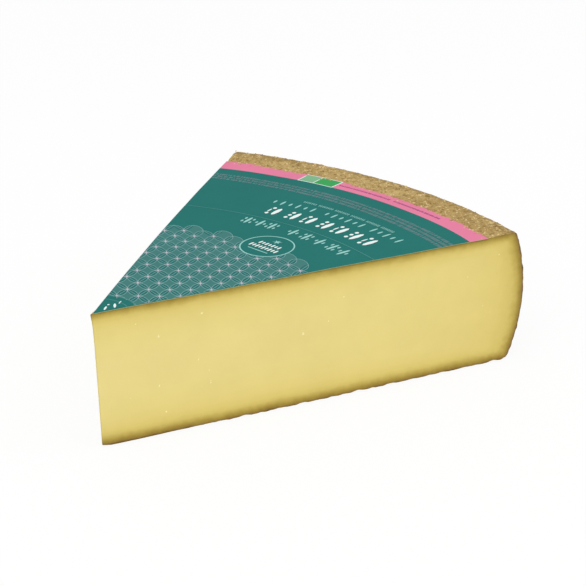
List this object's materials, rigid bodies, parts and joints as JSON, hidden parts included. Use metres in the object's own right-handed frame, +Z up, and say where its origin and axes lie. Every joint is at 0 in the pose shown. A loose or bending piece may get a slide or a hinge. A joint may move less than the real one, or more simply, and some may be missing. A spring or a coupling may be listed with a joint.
{
  "type": "comte cheese wedge",
  "caption": "Wedge cut from a wheel of hard mountain cheese, with pale yellow paste, a brown rind and a printed paper label over its top face.",
  "frame": {"origin": "middle of the wedge's footprint, on the surface that it stands on", "axes": "+X along the first knife cut from the tip to the heel, +Y from that cut towards the second cut, +Z up"},
  "size_m": [0.2966, 0.2472, 0.0917],
  "materials": {
    "cheese": "satin",
    "label": "matte"
  },
  "bodies": {
    "root": {"cheese_wedge": "cheese", "paper_label": "label"}
  },
  "joints": []
}
